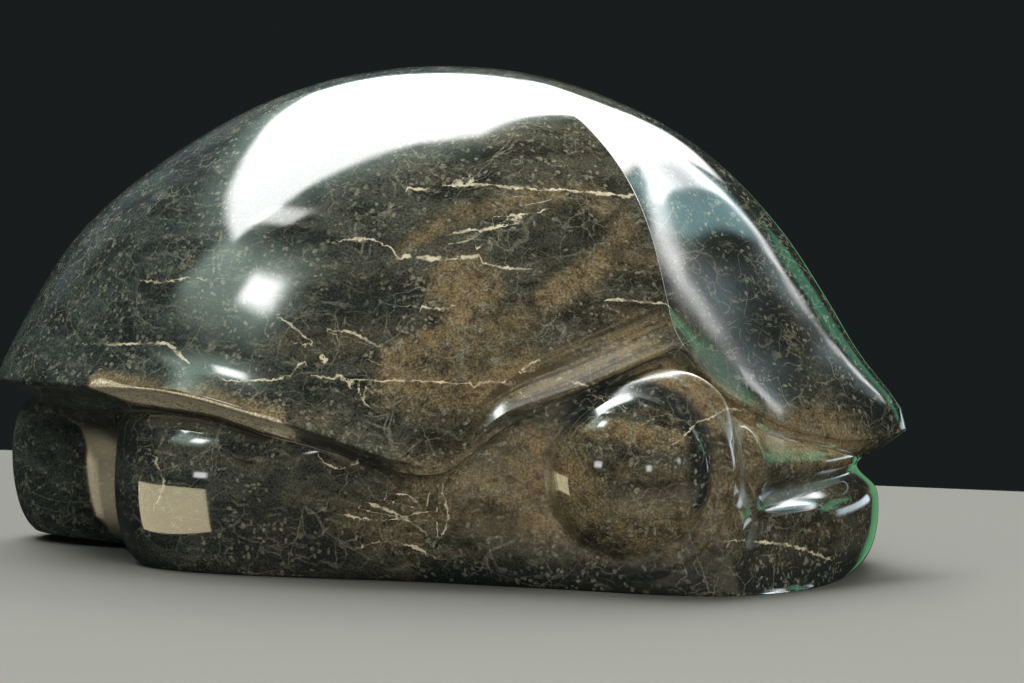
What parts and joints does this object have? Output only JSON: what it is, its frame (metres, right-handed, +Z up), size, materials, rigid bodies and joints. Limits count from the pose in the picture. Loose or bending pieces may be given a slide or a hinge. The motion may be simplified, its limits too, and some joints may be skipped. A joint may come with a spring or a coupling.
{
  "type": "fossil turtle shell",
  "caption": "Polished fossil-stone turtle in one piece: a domed shell with a flared rim and a pointed hood over a body with an eye boss, resting on a flat base.",
  "frame": {"origin": "centre of the bounding box, on the flat base that the stone rests on", "axes": "+X from tail to nose, +Y to the turtle's left, +Z up"},
  "size_m": [0.4326, 0.2992, 0.231],
  "materials": {
    "polished_fossil_stone": "polished"
  },
  "bodies": {
    "root": {"fossil_turtle_shell": "polished_fossil_stone"}
  },
  "joints": []
}
